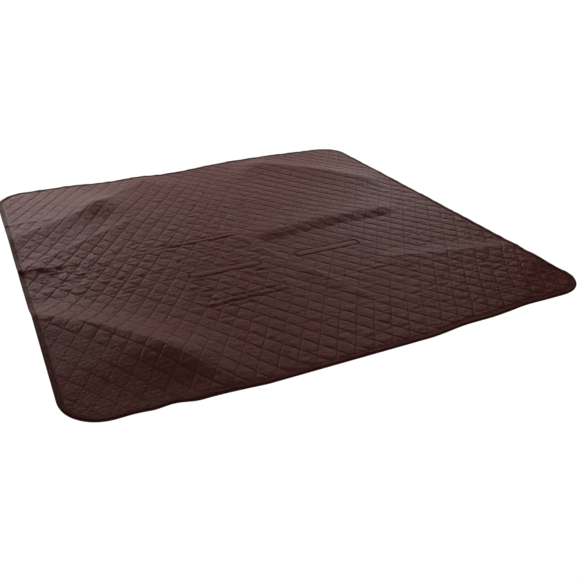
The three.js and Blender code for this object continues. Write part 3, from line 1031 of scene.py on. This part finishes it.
def slot_facing(side):
    sign = SIDES[side]
    x0, x1 = sorted(sign * v for v in FACING_X)
    y0, y1 = FACING_Y
    low, high = window_of(sign)
    opening = (Vector((low.x, OPEN_FROM_Y, 0)), high)
    xs = spaced(x0, low.x, high.x, x1)
    ys = spaced(y0, y0 + HEM_WIDTH, low.y, OPEN_FROM_Y, high.y, y1 - HEM_WIDTH, y1)
    parts = [cloth_panel(xs, ys, HEM_DROP + 0.15 * MM, HEM_DROP + 0.85 * MM, opening)]
    for start, end in ((y0, y0 + HEM_WIDTH), (y1 - HEM_WIDTH, y1)):
        parts.append(cloth_panel(xs, spaced(start, end), 0.05 * MM, HEM_DROP))
    parts.append(collar_wall(low, high, 1.7, COLLAR_TOP / MM))
    return joined(f"{side}_facing_cloth", parts, PLAIN)


def pile(name, low, high, foot, rows, columns, height, width, up, lean):
    """Rows of short bristles that stand on a tape at a foot's height, each leaning a little."""
    rng = np.random.default_rng(11)
    x = np.linspace(low.x + MM, high.x - MM, columns)
    y = np.linspace(low.y + 0.8 * MM, high.y - 0.8 * MM, rows)
    x, y = np.meshgrid(x, y, indexing="ij")
    middles = np.stack([x, y, np.full_like(x, foot)], axis=-1).reshape(-1, 3)
    middles += rng.uniform(-0.3, 0.3, middles.shape) * MM * (1, 1, 0)
    middles[:, 2] += up * height * 0.4
    leans = [rng.normal(0, lean, len(middles)) for _ in range(2)]
    ups = unit(np.stack([*leans, np.ones(len(middles))], axis=1))
    ahead = unit(np.cross((0.0, 1.0, 0.0), ups))
    points, faces = grains(middles, ahead, ups, width, width, height)
    return array_piece(name, points, faces, TAPE)


def box_corners(node):
    low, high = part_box(node)
    return Vector(low), Vector(high)


def slot_tapes(side):
    """The loop tape on the ledge in front of the slot, and the hook tape under the flap."""
    low, high = box_corners(f"{side}_slot_loop_tape")
    top = Vector((high.x, high.y, low.z + 0.45 * MM))
    loop = bar(f"{side}_loop_tape_band", low, top, 0.2 * MM, TAPE)
    add_piece(loop, BODY, "tape", f"{side}_slot_loop_tape")
    foot = low.z + 0.4 * MM
    loops = pile(f"{side}_loop_tape_pile", low, high, foot, 11, 190, 0.75 * MM, 0.5 * MM, 1, 0.5)
    add_piece(loops, BODY, "tape")
    low, high = box_corners(f"{side}_flap_hook_tape")
    bottom = Vector((low.x, low.y, high.z - 0.4 * MM))
    hook = bar(f"{side}_hook_tape_band", bottom, high, 0.18 * MM, TAPE)
    add_piece(hook, f"{side}_flap", "tape", f"{side}_flap_hook_tape")
    foot = high.z - 0.35 * MM
    hooks = pile(f"{side}_hook_tape_hooks", low, high, foot, 10, 150, 0.95 * MM, 0.28 * MM, -1, 0.1)
    add_piece(hooks, f"{side}_flap", "tape")
    return (loop, loops), (hook, hooks)


def flap_seams(side, low, high):
    """The flap's own topstitching: two rows near its folded front edge and its hinge."""
    xs = np.linspace(low.x + 2 * MM, high.x - 2 * MM, 80)
    z = high.z + 0.05 * MM
    lines = [[(x, y, z) for x in xs] for y in (low.y + 3.2 * MM, high.y - 2.4 * MM)]
    return stitched(f"{side}_flap_topstitch", lines, SEAM_STITCH, SEAM_THREAD)


def slot_flap(side):
    low, high = box_corners(f"{side}_slot_flap")
    low = low + Vector((-0.3 * MM, 0, 0.3 * MM))
    high = high + Vector((0.3 * MM, -0.1 * MM, 0))
    flap = bar(f"{side}_flap_cloth", low, high, 0.6 * MM, PLAIN, 0.1 * MM)
    add_piece(flap, f"{side}_flap", "face_cloth", f"{side}_slot_flap")
    seams = flap_seams(side, low, high)
    add_piece(seams, f"{side}_flap", "thread")
    low, high = box_corners(f"{side}_flap_seam_strip")
    low, high = low - Vector((0, 0, 0.4 * MM)), high + Vector((0, 0, 0.3 * MM))
    strip = bar(f"{side}_flap_seam_cloth", low, high, 0.3 * MM, PLAIN)
    add_piece(strip, BODY, "face_cloth", f"{side}_flap_seam_strip")
    return flap, seams, strip


def bartack(side, end, height):
    """A dense bar of zigzag stitches across one end of the window."""
    low, high = box_corners(f"{side}_slot_bartack_{end}")
    rng = np.random.default_rng(5)
    count = 38
    ys = np.linspace(low.y + 0.5 * MM, high.y - 0.5 * MM, count)
    x = (low.x + high.x) / 2
    middles = np.array([(x + rng.uniform(-0.1, 0.1) * MM, y, height(x, y) + 0.3 * MM) for y in ys])
    zigzag = np.tile([0.16, -0.16], count // 2)
    ahead = unit(np.stack([np.ones(count), zigzag, np.zeros(count)], axis=1))
    points, faces = grains(middles, ahead, UP, 3.0 * MM, 0.8 * MM, 0.7 * MM)
    piece = array_piece(f"{side}_bartack_{end}_stitches", points, faces, THREAD_WITH_PAINTED_SHADE)
    return add_piece(piece, BODY, "thread", f"{side}_slot_bartack_{end}")


def window_seam(side, height):
    """The ring of stitches that holds the facing to the quilting round a window."""
    low, high = window_of(SIDES[side], 4.6 * MM)
    corners = [(low.x, low.y), (high.x, low.y), (high.x, high.y), (low.x, high.y), (low.x, low.y)]
    plan = []
    for (ax, ay), (bx, by) in zip(corners, corners[1:]):
        count = round(math.hypot(bx - ax, by - ay) / (2.5 * MM))
        plan.extend((ax + (bx - ax) * i / count, ay + (by - ay) * i / count) for i in range(count))
    line = laid_on(height, plan + [corners[0]], 0.1 * MM)
    piece = stitched(f"{side}_window_seam", [line], SEAM_STITCH, SEAM_THREAD)
    return add_piece(piece, BODY, "thread")


def belt_slot(side, height):
    facing = add_piece(slot_facing(side), BODY, "lining_cloth", f"{side}_slot_facing")
    (loop, loops), (hook, hooks) = slot_tapes(side)
    flap, seams, strip = slot_flap(side)
    seam = window_seam(side, height)
    tacks = [bartack(side, end, height) for end in ("left", "right")]


# ---- Floor, light and camera ----
def make_floor():
    """A plain white surface that gives off as much light as the white of the picture."""
    material, _, shader = new_material("floor")
    set_inputs(shader, {
        "Base Color": (0, 0, 0, 1),
        "Specular IOR Level": 0,
        "Emission Color": (1, 1, 1, 1),
        "Emission Strength": 1.02,
    })
    size = 30
    corners = [(sx * size, sy * size, -0.4 * MM) for sx, sy in ((-1, -1), (1, -1), (1, 1), (-1, 1))]
    floor = mesh_piece("floor", corners, [(0, 1, 2, 3)], material, smooth=False)
    return floor


def area_light(name, place, target, size, power):
    light = bpy.data.lights.new(name, "AREA")
    light.shape = "RECTANGLE"
    light.size, light.size_y = size
    light.energy = power
    lamp = bpy.data.objects.new(name, light)
    lamp.location = place
    lamp.rotation_euler = (Vector(target) - Vector(place)).to_track_quat("-Z", "Y").to_euler()
    bpy.context.scene.collection.objects.link(lamp)


def make_world(strength):
    world = bpy.data.worlds.new("studio")
    bpy.context.scene.world = world
    world.use_nodes = True
    set_inputs(world.node_tree.nodes["Background"], {"Color": (1, 1, 1, 1), "Strength": strength})


def make_camera():
    """The camera stands off the front-left corner and looks down across the cover."""
    azimuth, elevation = math.radians(-25.8), math.radians(28.25)
    distance = 1.796
    target = Vector((-0.0474, -0.3577, 0))
    level = math.cos(elevation)
    away = Vector((math.sin(azimuth) * level, -math.cos(azimuth) * level, math.sin(elevation)))
    data = bpy.data.cameras.new("camera")
    data.sensor_width = 36
    data.lens = 42.52
    camera = bpy.data.objects.new("camera", data)
    camera.location = target + away * distance
    camera.rotation_mode = "QUATERNION"
    camera.rotation_quaternion = (-away).to_track_quat("-Z", "Y")
    bpy.context.scene.collection.objects.link(camera)
    bpy.context.scene.camera = camera


floor = make_floor()
for side in SIDES:
    belt_slot(side, surface_of(face))
make_camera()
make_world(0.16)
area_light("back_left_softbox", (-0.7, 2.4, 0.75), (0, 0, 0), (1.3, 0.45), 72)
area_light("back_softbox", (0.6, 2.4, 0.5), (0, 0, 0), (1.3, 0.35), 16)
area_light("back_right_softbox", (2.1, 2.2, 0.75), (0.1, 0, 0), (1.2, 0.45), 46)
area_light("top_softbox", (0, 0.6, 3.2), (0, 0, 0), (3.0, 3.0), 26)
bpy.context.scene.view_settings.view_transform = "Standard"
